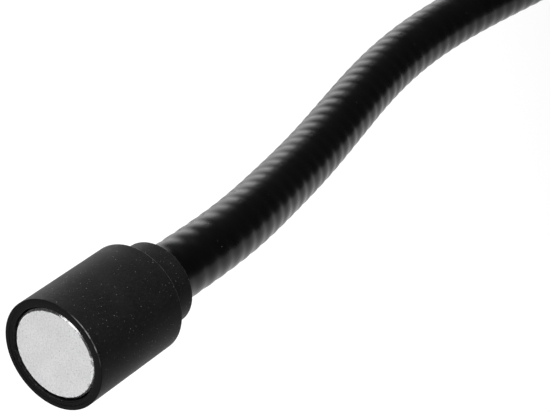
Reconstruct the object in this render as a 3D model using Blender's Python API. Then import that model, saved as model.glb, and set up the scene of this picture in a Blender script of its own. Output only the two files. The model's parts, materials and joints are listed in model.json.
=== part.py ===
"""Magnetic pickup tool: a magnet head on a gooseneck that stays where it is bent, with a ribbed handle.

The tool lies on a flat surface. The origin is the centre of the magnet's working face, +X runs
from the magnet into the head, and +Z is up. Dimensions are in millimetres, and become metres
where a mesh is made. The gooseneck really bends everywhere along its length. Here it is cut into
rigid lengths, numbered from the head, each turning on a hinge in the middle of the gap before it.
The first length belongs to the head's body and the last one to the handle's.
"""

import math

import bmesh
import bpy
import numpy as np
from mathutils import Matrix, Vector

MM = 0.001
GAP = 0.3  # clearance between neighbouring pieces
CHAMFER = 0.35

# Head
HEAD_RADIUS = 9.0
HEAD_LENGTH = 19.34
MAGNET_RADIUS = 7.34
MAGNET_LENGTH = 5.0
MAGNET_RECESS = 0.26
GLUE_THICKNESS = 0.4
BACKING_THICKNESS = 1.0
WEB_THICKNESS = 3.2  # the wall between the magnet's pocket and the collar's socket
COLLAR_RADIUS = 6.89
COLLAR_LENGTH = 5.48
SPIGOT_RADIUS = 5.9
SCREW_RADIUS = 1.5
SCREW_HEAD_RADIUS = 3.0
SCREW_HEAD_LENGTH = 1.6

# Gooseneck
NECK_LENGTH = 340.0  # between the collar and the handle
SLEEVE_RADIUS = 5.0
SLEEVE_BORE_RADIUS = 4.5
SLEEVE_SOCKET = 4.2  # how far the sleeve goes into the collar and into the ferrule
WIRE_SOCKET = 8.6  # how far the wires go into them
WIRE_PITCH = 3.5
ROUND_WIRE_COIL_RADIUS = 3.0
ROUND_WIRE_RADIUS = 0.95
WEDGE_WIRE_OUTER_RADIUS = 4.2
WEDGE_WIRE_INNER_RADIUS = 2.9
WEDGE_WIRE_HALF_WIDTH = 0.95
STEPS_PER_TURN = 8

# Hinges of the gooseneck
BEND_COUNT = 8
BEND_LIMIT = math.radians(30.0)
END_BEND_DISTANCE = 21.0  # from the collar, and from the ferrule, to the nearest hinge
HINGE_GAP = 2 * (SLEEVE_RADIUS * math.tan(BEND_LIMIT / 2) + GAP / 2)

# The line the gooseneck lies in: for each bend its start, its length and its turn in degrees
BENDS = ((0.0, 36.0, 12.5), (74.0, 68.0, -20.0), (165.0, 120.0, 14.0))
DROP_LENGTH = 63.0  # over which the neck comes down from the head's axis to the surface
RISE_LENGTH = 60.0  # over which it goes up to the handle's axis

# Handle
GRIP_RADIUS = 11.0
GRIP_BORE_RADIUS = 7.5
GRIP_GROOVES = 7
GROOVE_PITCH = 9.0
GROOVE_WIDTH = 3.6
GROOVE_DEPTH = 1.1
FERRULE_RADIUS = 9.0
FERRULE_LENGTH = 16.0
TUBE_RADIUS = 7.2
TUBE_BORE_RADIUS = 6.2
GRIP_END = 102.0
SPIGOT_LENGTH = 9.0
CAP_LENGTH = 18.0
CAP_SHOULDER = 3.0  # the round part of the cap in front of its flat tab
CAP_TAB_THICKNESS = 9.0
CAP_DOME_LENGTH = 7.0
CAP_DOME_DROP = 6.0
CAP_DOME_STEPS = 5
HANG_HOLE_RADIUS = 4.0
HANG_HOLE_DISTANCE = 112.0  # from the ferrule's mouth
PLUG_RADIUS = 1.4
GRUB_RADIUS = 1.5
GRUB_SOCKET_RADIUS = 0.75
GRUB_SOCKET_DEPTH = 1.4
GRUB_DISTANCE = 8.0  # from the ferrule's mouth

# Places that follow from the dimensions
HEAD_REAR = HEAD_LENGTH - MAGNET_RECESS
COLLAR_REAR = HEAD_REAR + COLLAR_LENGTH
GLUE_FRONT = MAGNET_LENGTH + GAP
BACKING_FRONT = GLUE_FRONT + GLUE_THICKNESS + GAP
POCKET_FLOOR = BACKING_FRONT + BACKING_THICKNESS + GAP
SOCKET_FRONT = POCKET_FLOOR + WEB_THICKNESS
NECK_HEIGHT = SLEEVE_RADIUS - HEAD_RADIUS
HANDLE_HEIGHT = GRIP_RADIUS - HEAD_RADIUS

SIDES = 24
FINE_SIDES = 32
SCREW_SIDES = 12
SLEEVE_SIDES = 16
SLEEVE_SPANS = 4
ROUTE_STEP = 0.5
SHARP_ANGLE = math.radians(35.0)

BLACK = (0.012, 0.012, 0.013)
SATIN_BLACK = (0.02, 0.02, 0.021)
STEEL = (0.55, 0.55, 0.56)
MAGNET_GREY = (0.68, 0.68, 0.67)
GLUE_GREY = (0.35, 0.34, 0.3)


def clear_scene():
    for obj in list(bpy.data.objects):
        bpy.data.objects.remove(obj, do_unlink=True)


def ease(t):
    """0 to 1 with level ends."""
    t = np.clip(t, 0.0, 1.0)
    return t * t * (3 - 2 * t)


def neck_route():
    """The gooseneck's centreline: distances from the collar's rear, and the place and heading at each."""
    lead = FERRULE_LENGTH + GRIP_RADIUS
    along = np.arange(-lead, NECK_LENGTH + lead, ROUTE_STEP)
    heading = np.zeros(len(along))
    for start, length, turn in BENDS:
        heading += math.radians(turn) * ease((along - start) / length)
    middle = (heading[1:] + heading[:-1]) / 2
    x = np.concatenate(([0.0], np.cumsum(np.cos(middle) * ROUTE_STEP)))
    y = np.concatenate(([0.0], np.cumsum(np.sin(middle) * ROUTE_STEP)))
    drop = NECK_HEIGHT * ease(along / DROP_LENGTH)
    rise = (HANDLE_HEIGHT - NECK_HEIGHT) * ease((along - NECK_LENGTH) / RISE_LENGTH + 1)
    return {
        "along": along,
        "x": x - np.interp(0.0, along, x) + COLLAR_REAR,
        "y": y - np.interp(0.0, along, y),
        "z": drop + rise,
        "heading": heading,
    }


ROUTE = neck_route()


def centre(distance):
    """The point of the gooseneck's centreline at a distance from the collar's rear face."""
    return Vector([float(np.interp(distance, ROUTE["along"], ROUTE[axis])) for axis in "xyz"])


def directions(distance):
    """The centreline's tangent, the level direction across it, and the one that is square to both."""
    tangent = (centre(distance + ROUTE_STEP) - centre(distance - ROUTE_STEP)).normalized()
    heading = float(np.interp(distance, ROUTE["along"], ROUTE["heading"]))
    side = Vector((-math.sin(heading), math.cos(heading), 0.0))
    return tangent, side, tangent.cross(side)


def add_material(obj, colour, roughness, metallic):
    material = bpy.data.materials.new(obj.name)
    material.use_nodes = True
    shader = material.node_tree.nodes["Principled BSDF"]
    shader.inputs["Base Color"].default_value = (*colour, 1.0)
    shader.inputs["Roughness"].default_value = roughness
    shader.inputs["Metallic"].default_value = metallic
    obj.data.materials.append(material)


def new_object(name, bm):
    """An object at the origin, made from a bmesh that this uses up."""
    bmesh.ops.recalc_face_normals(bm, faces=bm.faces)
    mesh = bpy.data.meshes.new(name)
    bm.to_mesh(mesh)
    bm.free()
    mesh.shade_smooth()
    mesh.set_sharp_from_angle(angle=SHARP_ANGLE)
    obj = bpy.data.objects.new(name, mesh)
    bpy.context.collection.objects.link(obj)
    return obj


def add_pivot(name, place, parent=None):
    """An empty at a point in millimetres, which the pieces of one body hang from."""
    pivot = bpy.data.objects.new(name, None)
    bpy.context.collection.objects.link(pivot)
    pivot["place"] = tuple(place)
    pivot.parent = parent
    pivot.location = (place - Vector(parent["place"]) if parent else place) * MM
    return pivot


def turned(profile, sides=SIDES):
    """An outline of (x, radius) points spun about X. One that starts on the axis also ends there."""
    bm = bmesh.new()
    corners = [bm.verts.new(Vector((x, 0.0, radius)) * MM) for x, radius in profile]
    ends = corners[1:] if profile[0][1] == 0.0 else corners[1:] + corners[:1]
    edges = [bm.edges.new(pair) for pair in zip(corners, ends)]
    bmesh.ops.spin(
        bm,
        geom=corners + edges,
        axis=(1.0, 0.0, 0.0),
        angle=math.tau,
        steps=sides,
        use_merge=True,
    )
    bmesh.ops.remove_doubles(bm, verts=bm.verts, dist=0.001 * MM)
    return bm


def rod(start, end, radius, chamfer):
    """The outline of a solid round bar with chamfered ends."""
    return [
        (start, 0.0),
        (start, radius - chamfer),
        (start + chamfer, radius),
        (end - chamfer, radius),
        (end, radius - chamfer),
        (end, 0.0),
    ]


def lofted(rings, looped):
    """A closed skin through rings of points, joined back to the first ring or capped at both ends."""
    bm = bmesh.new()
    loops = [[bm.verts.new(point * MM) for point in ring] for ring in rings]
    pairs = list(zip(loops, loops[1:]))
    if looped:
        pairs.append((loops[-1], loops[0]))
    else:
        bm.faces.new(loops[0])
        bm.faces.new(loops[-1])
    for near, far in pairs:
        for k in range(len(near)):
            bm.faces.new((near[k - 1], near[k], far[k], far[k - 1]))
    return bm


def neck_tube(start, end):
    """A plain tube round the centreline."""
    stops = np.linspace(start, end, SLEEVE_SPANS + 1)
    angles = [math.tau * k / SLEEVE_SIDES for k in range(SLEEVE_SIDES)]

    def ring(distance, radius):
        _, side, up = directions(distance)
        return [centre(distance) + radius * (side * math.cos(a) + up * math.sin(a)) for a in angles]

    outside = [ring(stop, SLEEVE_RADIUS) for stop in stops]
    inside = [ring(stop, SLEEVE_BORE_RADIUS) for stop in reversed(stops)]
    return lofted(outside + inside, looped=True)


def neck_wire(start, end, section, phase):
    """A wire wound round the centreline. The section's points are (radius, offset along the neck)."""
    reach = max(offset for _, offset in section)
    step = WIRE_PITCH / STEPS_PER_TURN
    first = math.ceil((start + reach) / step)
    last = math.floor((end - reach) / step)
    rings = []
    for k in range(first, last + 1):
        tangent, side, up = directions(k * step)
        angle = math.tau * k / STEPS_PER_TURN + phase
        outward = side * math.cos(angle) + up * math.sin(angle)
        middle = centre(k * step)
        rings.append([middle + outward * radius + tangent * offset for radius, offset in section])
    return lofted(rings, looped=False)


def attach(obj, pivot, colour, roughness, metallic=0.0):
    """Hangs a piece modelled in the tool's own frame from its body's pivot, and gives it its material."""
    obj.parent = pivot
    obj.location = -Vector(pivot["place"]) * MM
    add_material(obj, colour, roughness, metallic)
    return obj


def attach_on_axis(obj, pivot, colour, roughness, metallic=0.0):
    """Does the same for a handle piece, modelled along +X from the ferrule's mouth."""
    obj.parent = pivot
    obj.location = (centre(NECK_LENGTH) - Vector(pivot["place"])) * MM
    obj.rotation_euler.z = ROUTE["heading"][-1]
    add_material(obj, colour, roughness, metallic)
    return obj


def add_cut(obj, cutter):
    cutter.hide_render = True
    cutter.display_type = "WIRE"
    cutter.parent = obj
    modifier = obj.modifiers.new(cutter.name, "BOOLEAN")
    modifier.operation = "DIFFERENCE"
    modifier.solver = "EXACT"
    modifier.object = cutter


def box_cutter(name, low, high):
    bm = bmesh.new()
    bmesh.ops.create_cube(bm, size=1.0)
    size = [(b - a) * MM for a, b in zip(low, high)]
    middle = Vector([(a + b) / 2 for a, b in zip(low, high)]) * MM
    place = Matrix.Translation(middle) @ Matrix.Diagonal((*size, 1.0))
    bmesh.ops.transform(bm, matrix=place, verts=bm.verts)
    return new_object(name, bm)


def upright(profile, x, sides=SIDES):
    """An outline of (height, radius) points spun about a vertical line at a distance along X."""
    bm = turned(profile, sides)
    stand = Matrix.Translation((x * MM, 0.0, 0.0)) @ Matrix.Rotation(-math.pi / 2, 4, "Y")
    bmesh.ops.transform(bm, matrix=stand, verts=bm.verts)
    return bm


def bar(low, high, radius):
    """The outline of a plain round bar, for cutting a hole."""
    return [(low, 0.0), (low, radius), (high, radius), (high, 0.0)]


# Head ---------------------------------------------------------------------------------------


def head_shell():
    rim = -MAGNET_RECESS
    pocket = MAGNET_RADIUS + GAP
    return turned(
        [
            (rim, pocket + CHAMFER),
            (rim, HEAD_RADIUS - CHAMFER),
            (rim + CHAMFER, HEAD_RADIUS),
            (HEAD_REAR - CHAMFER / 2, HEAD_RADIUS),
            (HEAD_REAR, HEAD_RADIUS - CHAMFER / 2),
            (HEAD_REAR, SPIGOT_RADIUS + GAP),
            (SOCKET_FRONT, SPIGOT_RADIUS + GAP),
            (SOCKET_FRONT, SCREW_RADIUS + GAP),
            (POCKET_FLOOR + SCREW_HEAD_LENGTH, SCREW_RADIUS + GAP),
            (POCKET_FLOOR + SCREW_HEAD_LENGTH, SCREW_HEAD_RADIUS + GAP),
            (POCKET_FLOOR, SCREW_HEAD_RADIUS + GAP),
            (POCKET_FLOOR, pocket),
            (rim + CHAMFER, pocket),
        ],
        FINE_SIDES,
    )


def collar_screw():
    """The screw that pulls the collar into the shell. Its head lies behind the backing plate."""
    front = POCKET_FLOOR + GAP / 2
    seat = POCKET_FLOOR + SCREW_HEAD_LENGTH - GAP
    tip = COLLAR_REAR - WIRE_SOCKET - GAP
    return turned(
        [
            (front, 0.0),
            (front, SCREW_HEAD_RADIUS - CHAMFER),
            (front + CHAMFER, SCREW_HEAD_RADIUS),
            (seat, SCREW_HEAD_RADIUS),
            (seat, SCREW_RADIUS),
            (tip, SCREW_RADIUS),
            (tip, 0.0),
        ]
    )


def neck_collar():
    """The collar behind the head, with a spigot into the shell and a bore that steps down to the screw."""
    spigot = SOCKET_FRONT + GAP
    sleeve_stop = COLLAR_REAR - SLEEVE_SOCKET - GAP
    wire_stop = COLLAR_REAR - WIRE_SOCKET - GAP
    return turned(
        [
            (spigot, SCREW_RADIUS + GAP),
            (spigot, SPIGOT_RADIUS),
            (HEAD_REAR + GAP / 2, SPIGOT_RADIUS),
            (HEAD_REAR + GAP / 2, COLLAR_RADIUS),
            (COLLAR_REAR - CHAMFER, COLLAR_RADIUS),
            (COLLAR_REAR, COLLAR_RADIUS - CHAMFER),
            (COLLAR_REAR, SLEEVE_RADIUS + GAP),
            (sleeve_stop, SLEEVE_RADIUS + GAP),
            (sleeve_stop, SLEEVE_BORE_RADIUS),
            (wire_stop, SLEEVE_BORE_RADIUS),
            (wire_stop, SCREW_RADIUS + GAP),
        ]
    )


def add_head(pivot):
    glue_rear = GLUE_FRONT + GLUE_THICKNESS
    backing_rear = BACKING_FRONT + BACKING_THICKNESS
    magnet = turned(rod(0.0, MAGNET_LENGTH, MAGNET_RADIUS, CHAMFER), FINE_SIDES)
    glue = turned(bar(GLUE_FRONT, glue_rear, MAGNET_RADIUS - GAP), SIDES)
    backing = turned(bar(BACKING_FRONT, backing_rear, MAGNET_RADIUS), SIDES)
    attach(new_object("head_shell", head_shell()), pivot, BLACK, 0.55)
    attach(new_object("magnet_disc", magnet), pivot, MAGNET_GREY, 0.5, metallic=0.6)
    attach(new_object("magnet_glue", glue), pivot, GLUE_GREY, 0.6)
    attach(new_object("backing_plate", backing), pivot, STEEL, 0.4, metallic=1.0)
    attach(new_object("collar_screw", collar_screw()), pivot, STEEL, 0.35, metallic=1.0)
    attach(new_object("neck_collar", neck_collar()), pivot, BLACK, 0.5)


# Gooseneck ----------------------------------------------------------------------------------


def bend_distances():
    """Where the hinges are, from the head to the handle."""
    return np.linspace(END_BEND_DISTANCE, NECK_LENGTH - END_BEND_DISTANCE, BEND_COUNT)


def add_neck_length(number, pivot, sleeve_span, wire_span):
    """One rigid length of the gooseneck: its sleeve, its round wire and the wedge wire between the turns."""
    round_wire = [
        (ROUND_WIRE_COIL_RADIUS + ROUND_WIRE_RADIUS * math.cos(a), ROUND_WIRE_RADIUS * math.sin(a))
        for a in (0.0, math.pi / 2, math.pi, -math.pi / 2)
    ]
    wedge_wire = [
        (WEDGE_WIRE_OUTER_RADIUS, -WEDGE_WIRE_HALF_WIDTH),
        (WEDGE_WIRE_OUTER_RADIUS, WEDGE_WIRE_HALF_WIDTH),
        (WEDGE_WIRE_INNER_RADIUS, 0.0),
    ]
    name = f"neck_{number}"
    sleeve = new_object(f"{name}_sleeve", neck_tube(*sleeve_span))
    core = new_object(f"{name}_round_wire", neck_wire(*wire_span, round_wire, phase=0.0))
    wedge = new_object(f"{name}_wedge_wire", neck_wire(*wire_span, wedge_wire, phase=math.pi))
    attach(sleeve, pivot, SATIN_BLACK, 0.25)
    attach(core, pivot, STEEL, 0.35, metallic=1.0)
    attach(wedge, pivot, STEEL, 0.4, metallic=1.0)


def add_gooseneck(head_pivot):
    """All the lengths of the gooseneck, each hung from the one before. It returns the handle's pivot."""
    half_gap = HINGE_GAP / 2
    bends = bend_distances()
    first_end = bends[0] - half_gap
    last_start = bends[-1] + half_gap
    add_neck_length(1, head_pivot, (-SLEEVE_SOCKET, first_end), (-WIRE_SOCKET, first_end))
    pivot = head_pivot
    for number, (bend, following) in enumerate(zip(bends, bends[1:]), start=2):
        pivot = add_pivot(f"neck_{number}_pivot", centre(bend), pivot)
        span = (bend + half_gap, following - half_gap)
        add_neck_length(number, pivot, span, span)
    handle_pivot = add_pivot("handle_pivot", centre(bends[-1]), pivot)
    add_neck_length(
        BEND_COUNT + 1,
        handle_pivot,
        (last_start, NECK_LENGTH + SLEEVE_SOCKET),
        (last_start, NECK_LENGTH + WIRE_SOCKET),
    )
    return handle_pivot


# Handle, modelled along +X from the ferrule's mouth ------------------------------------------


def handle_ferrule():
    """The ferrule that joins the gooseneck to the handle: a collar like the head's, a step and a spigot."""
    sleeve_stop = SLEEVE_SOCKET + GAP
    wire_stop = GRUB_DISTANCE + GRUB_RADIUS + 2 * GAP
    spigot_end = FERRULE_LENGTH + SPIGOT_LENGTH
    step = FERRULE_RADIUS - COLLAR_RADIUS
    return turned(
        [
            (wire_stop, 0.0),
            (wire_stop, SLEEVE_BORE_RADIUS),
            (sleeve_stop, SLEEVE_BORE_RADIUS),
            (sleeve_stop, SLEEVE_RADIUS + GAP),
            (0.0, SLEEVE_RADIUS + GAP),
            (0.0, COLLAR_RADIUS - CHAMFER),
            (CHAMFER, COLLAR_RADIUS),
            (COLLAR_LENGTH, COLLAR_RADIUS),
            (COLLAR_LENGTH + step / 2, FERRULE_RADIUS),
            (FERRULE_LENGTH, FERRULE_RADIUS),
            (FERRULE_LENGTH, TUBE_BORE_RADIUS - GAP),
            (spigot_end, TUBE_BORE_RADIUS - GAP),
            (spigot_end, 0.0),
        ]
    )


def grub_screw():
    """The screw that holds the wires in the ferrule, with a socket in its top."""
    bottom = WEDGE_WIRE_OUTER_RADIUS + GAP
    top = FERRULE_RADIUS - GAP
    return upright(
        [
            (bottom, 0.0),
            (bottom, GRUB_RADIUS - CHAMFER),
            (bottom + CHAMFER, GRUB_RADIUS),
            (top, GRUB_RADIUS),
            (top, GRUB_SOCKET_RADIUS),
            (top - GRUB_SOCKET_DEPTH, GRUB_SOCKET_RADIUS),
            (top - GRUB_SOCKET_DEPTH, 0.0),
        ],
        GRUB_DISTANCE,
        SCREW_SIDES,
    )


def grip_sleeve():
    """The soft grip, with a row of grooves round it."""
    front = FERRULE_LENGTH + GAP
    grooved = GRIP_GROOVES * GROOVE_PITCH
    first = (front + GRIP_END - grooved + GROOVE_PITCH - GROOVE_WIDTH) / 2
    slope = GROOVE_WIDTH / 4
    outside = [(front, FERRULE_RADIUS), (front + GRIP_RADIUS - FERRULE_RADIUS, GRIP_RADIUS)]
    for k in range(GRIP_GROOVES):
        start = first + k * GROOVE_PITCH
        outside += [
            (start, GRIP_RADIUS),
            (start + slope, GRIP_RADIUS - GROOVE_DEPTH),
            (start + GROOVE_WIDTH - slope, GRIP_RADIUS - GROOVE_DEPTH),
            (start + GROOVE_WIDTH, GRIP_RADIUS),
        ]
    outside.append((GRIP_END, GRIP_RADIUS))
    return turned(outside + [(GRIP_END, GRIP_BORE_RADIUS), (front, GRIP_BORE_RADIUS)])


def core_tube():
    """The rigid tube that the grip is pushed onto, from the ferrule to the end cap."""
    front = FERRULE_LENGTH + GAP
    return turned(
        [
            (front, TUBE_BORE_RADIUS),
            (front, TUBE_RADIUS),
            (GRIP_END, TUBE_RADIUS),
            (GRIP_END, TUBE_BORE_RADIUS),
        ]
    )


def end_cap_body():
    """The cap that closes the handle, with a rounded end and a spigot into the tube."""
    front = GRIP_END + GAP
    rear = front + CAP_LENGTH
    dome = [
        (rear - CAP_DOME_LENGTH * (1 - math.sin(a)), GRIP_RADIUS - CAP_DOME_DROP * (1 - math.cos(a)))
        for a in np.linspace(0.0, math.pi / 2, CAP_DOME_STEPS)
    ]
    spigot = TUBE_BORE_RADIUS - GAP
    inner_end = front - SPIGOT_LENGTH
    plug = [(inner_end, 0.0), (inner_end, spigot), (front, spigot), (front, GRIP_RADIUS)]
    return turned(plug + dome + [(rear, 0.0)])


def add_handle(pivot):
    ferrule = attach_on_axis(new_object("handle_ferrule", handle_ferrule()), pivot, BLACK, 0.5)
    hole = bar(SLEEVE_BORE_RADIUS - 1.0, FERRULE_RADIUS + 1.0, GRUB_RADIUS + GAP)
    add_cut(ferrule, new_object("grub_hole_cutter", upright(hole, GRUB_DISTANCE)))
    attach_on_axis(new_object("ferrule_grub_screw", grub_screw()), pivot, STEEL, 0.35, metallic=1.0)
    plug = turned(rod(2 * GAP, GRUB_DISTANCE, PLUG_RADIUS, CHAMFER))
    attach_on_axis(new_object("wire_end_plug", plug), pivot, STEEL, 0.4, metallic=1.0)
    attach_on_axis(new_object("handle_core_tube", core_tube()), pivot, STEEL, 0.35, metallic=1.0)
    attach_on_axis(new_object("grip_sleeve", grip_sleeve()), pivot, BLACK, 0.7)
    cap = attach_on_axis(new_object("end_cap", end_cap_body()), pivot, BLACK, 0.5)
    tab_front = GRIP_END + GAP + CAP_SHOULDER
    tab_rear = GRIP_END + CAP_LENGTH + 1.0
    for name, sign in (("upper_flat_cutter", 1), ("lower_flat_cutter", -1)):
        heights = sorted((sign * CAP_TAB_THICKNESS / 2, sign * (GRIP_RADIUS + 1.0)))
        low = (tab_front, -GRIP_RADIUS - 1.0, heights[0])
        high = (tab_rear, GRIP_RADIUS + 1.0, heights[1])
        add_cut(cap, box_cutter(name, low, high))
    through = bar(-CAP_TAB_THICKNESS, CAP_TAB_THICKNESS, HANG_HOLE_RADIUS)
    add_cut(cap, new_object("hang_hole_cutter", upright(through, HANG_HOLE_DISTANCE)))


clear_scene()
head = add_pivot("head_pivot", Vector((0.0, 0.0, 0.0)))
add_head(head)
add_handle(add_gooseneck(head))
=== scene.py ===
import json
import math

import bmesh
import bpy
import numpy as np
from mathutils import Matrix, Vector


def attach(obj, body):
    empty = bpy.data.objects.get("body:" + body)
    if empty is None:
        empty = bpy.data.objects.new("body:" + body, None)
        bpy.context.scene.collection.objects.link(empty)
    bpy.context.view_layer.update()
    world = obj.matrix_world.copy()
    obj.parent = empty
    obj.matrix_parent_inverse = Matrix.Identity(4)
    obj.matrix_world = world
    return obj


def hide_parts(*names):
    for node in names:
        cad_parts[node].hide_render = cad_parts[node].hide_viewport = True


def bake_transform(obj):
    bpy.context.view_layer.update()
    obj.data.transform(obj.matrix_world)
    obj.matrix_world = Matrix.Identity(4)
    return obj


# The looks of the magnetic pickup tool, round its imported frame. Shapes are worked out in millimetres in
# the tool's own frame (origin at the centre of the magnet's face, +X into the head, +Z up) and become
# metres where a mesh is made. Each surface pattern follows the attribute "rest", a point's place in
# millimetres as its piece was made, so that it stays on the surface while the gooseneck moves.

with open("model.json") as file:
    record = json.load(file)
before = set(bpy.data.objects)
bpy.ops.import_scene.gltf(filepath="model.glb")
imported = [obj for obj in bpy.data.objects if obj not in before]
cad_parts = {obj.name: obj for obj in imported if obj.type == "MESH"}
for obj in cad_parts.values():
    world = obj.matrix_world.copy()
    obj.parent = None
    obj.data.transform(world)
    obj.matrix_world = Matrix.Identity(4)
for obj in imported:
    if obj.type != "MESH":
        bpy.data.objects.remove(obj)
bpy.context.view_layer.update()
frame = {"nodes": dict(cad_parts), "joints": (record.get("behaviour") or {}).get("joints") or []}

MM = 0.001
GAP = 0.3  # clearance between neighbouring pieces

# Head
HEAD_RADIUS = 9.0
HEAD_REAR = 19.08
MAGNET_RADIUS = 7.34
MAGNET_LENGTH = 5.0
MAGNET_RECESS = 0.26
POCKET_RADIUS = MAGNET_RADIUS + GAP
POCKET_FLOOR = 7.3
RIM_STEP_RADIUS = 8.3  # the inner part of the rim lies a little lower than the outer part
RIM_STEP_DEPTH = 0.05
WEB_THICKNESS = 3.2
SCREW_HEAD_LENGTH = 1.6
SCREW_HEAD_RADIUS = 3.0
SCREW_RADIUS = 1.5
SPIGOT_RADIUS = 5.9
COLLAR_RADIUS = 6.89
COLLAR_LENGTH = 5.48
COLLAR_REAR = HEAD_REAR + COLLAR_LENGTH

# Gooseneck, on the same route as the frame's
NECK_LENGTH = 340.0
SLEEVE_RADIUS = 5.0
SLEEVE_BORE_RADIUS = 4.5
SLEEVE_SOCKET = 4.2
WIRE_SOCKET = 8.6
WIRE_END_ROOM = 1.0  # between a wire's last turn and its socket's end
WIRE_PITCH = 3.5
BEND_COUNT = 8
END_BEND_DISTANCE = 21.0
BENDS = ((0.0, 36.0, 12.5), (74.0, 68.0, -20.0), (165.0, 120.0, 14.0))
NECK_HEIGHT = -4.0
DROP_LENGTH = 63.0
HANDLE_HEIGHT = 2.0
RISE_LENGTH = 60.0
ROUTE_LEAD = 27.0
ROUTE_STEP = 0.5
TANGENT_REACH = 0.5

# Ribs that the wire raises in the sleeve
RIB_DEPTH = 0.1
RIB_SHARPNESS = 1.2
RIB_UNEVENNESS = 0.12
RIB_WAVES = (0.37, 0.171)  # how fast the ribs' unevenness varies along the neck, in radians per mm
SLEEVE_SIDES = 56
SLEEVE_INNER_STEP = 3.0
SLEEVE_STEP = 0.28

# Wires
ROUND_WIRE_COIL_RADIUS = 3.0
ROUND_WIRE_RADIUS = 0.95
WEDGE_WIRE_OUTER_RADIUS = 4.2
WEDGE_WIRE_INNER_RADIUS = 2.9
WEDGE_WIRE_HALF_WIDTH = 0.95
WIRE_STEPS_PER_TURN = 14
ROUND_WIRE_SIDES = 8

# Handle, measured from the ferrule's mouth
FERRULE_RADIUS = 9.0
FERRULE_LENGTH = 16.0
TUBE_BORE_RADIUS = 6.2
SPIGOT_LENGTH = 9.0
GRIP_RADIUS = 11.0
GRIP_BORE_RADIUS = 7.5
GRIP_END = 102.0
GRIP_GROOVES = 7
GROOVE_PITCH = 9.0
GROOVE_WIDTH = 3.6
GROOVE_DEPTH = 1.1
CAP_LENGTH = 18.0
CAP_SHOULDER = 3.0
CAP_TAB_THICKNESS = 9.0
CAP_DOME_LENGTH = 7.0
CAP_DOME_DROP = 6.0
CAP_DOME_STEPS = 24
CAP_INSET = 0.06  # keeps the finely rounded cap inside the frame's
HANG_HOLE_RADIUS = 4.0
HANG_HOLE_DISTANCE = 112.0
GRUB_RADIUS = 1.5
GRUB_SOCKET_RADIUS = 0.75
GRUB_SOCKET_DEPTH = 1.4
GRUB_DISTANCE = 8.0
GRUB_SIDES = 36

TURNED_SIDES = 160
HOLE_SIDES = 96
SMALL_HOLE_SIDES = 48
CENTRE_RADIUS = 0.05  # of a lofted piece's first and last ring, in place of a point
FILLET_STEPS = 7
OUTLINE_STEP = 0.6
SHARP_ANGLE = math.radians(40.0)
EVEN_SPREAD = 1000  # the spread, in degrees, of an edge worn alike all round

# Camera, floor and light
CAMERA_PLACE = Vector((-0.20426, -0.1786, 0.1723))
CAMERA_HEADING = math.radians(34.38134)
CAMERA_PITCH = math.radians(-28.74)
CAMERA_LENS = 144.0
CAMERA_SENSOR = 36.0
FLOOR_HEIGHT = -0.42
NEAR_FLOOR_RADIUS = 1.8
FLOOR_RADIUS = 5.0
FLOOR_SIDES = 96
COVE_RADIUS = 0.6
COVE_STEPS = 12
WALL_HEIGHT = 1.1
FLOOR_GLOW = 0.95
DARKER_GLOW = 0.4
DARKER_SIDE = (math.sin(CAMERA_HEADING), -math.cos(CAMERA_HEADING), 0.0)
DARKER_START = -0.2
DARKER_END = 0.9
FAR_GLOW = 0.5
FLOOR_GREY = 0.16
WORLD_GLOW = 0.025
SOFTBOX_DISTANCE = 2.5

# Azimuth (from +X towards +Y) and elevation in degrees, width and height in metres, and radiance
SOFTBOXES = {
    "softbox_behind": (52.0, 8.0, 2.0, 1.5, 1.5),
    "softbox_behind_fill": (30.0, 27.0, 0.8, 0.7, 0.5),
    "softbox_above": (100.0, 80.0, 1.4, 1.4, 14.0),
    "softbox_in_front": (190.0, 45.0, 1.7, 1.3, 2.0),
}


def ease(t):
    """0 to 1 with level ends."""
    t = np.clip(t, 0.0, 1.0)
    return t * t * (3 - 2 * t)


# Meshes -------------------------------------------------------------------------------------


def add_point_attribute(mesh, name, kind, values):
    """Stores a value or a vector for each point of the mesh."""
    field = "vector" if kind == "FLOAT_VECTOR" else "value"
    attribute = mesh.attributes.new(name, kind, "POINT")
    attribute.data.foreach_set(field, np.asarray(values, np.float32).ravel())


def places(mesh):
    """The mesh's points, one row each."""
    found = np.empty(len(mesh.vertices) * 3, np.float32)
    mesh.vertices.foreach_get("co", found)
    return found.reshape(-1, 3)


def new_object(name, bm):
    """An object at the origin from a bmesh in millimetres, which this uses up. It keeps "rest"."""
    bmesh.ops.recalc_face_normals(bm, faces=bm.faces)
    mesh = bpy.data.meshes.new(name)
    bm.to_mesh(mesh)
    bm.free()
    add_point_attribute(mesh, "rest", "FLOAT_VECTOR", places(mesh))
    mesh.transform(Matrix.Scale(MM, 4))
    mesh.shade_smooth()
    mesh.set_sharp_from_angle(angle=SHARP_ANGLE)
    obj = bpy.data.objects.new(name, mesh)
    bpy.context.collection.objects.link(obj)
    return obj


def rounded(corners):
    """An outline through (x, radius, fillet) corners, each rounded by an arc of its fillet's radius.

    A corner with no fillet stays sharp."""
    points = []
    for before, corner, after in zip(corners[-1:] + corners[:-1], corners, corners[1:] + corners[:1]):
        point = Vector(corner[:2])
        fillet = corner[2]
        if fillet == 0.0:
            points.append(point)
            continue
        back = (Vector(before[:2]) - point).normalized()
        ahead = (Vector(after[:2]) - point).normalized()
        half = back.angle(ahead) / 2
        middle = point + (back + ahead).normalized() * fillet / math.sin(half)
        start = point + back * fillet / math.tan(half) - middle
        end = point + ahead * fillet / math.tan(half) - middle
        points += [middle + start.slerp(end, t) * fillet for t in np.linspace(0.0, 1.0, FILLET_STEPS)]
    return points


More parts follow.
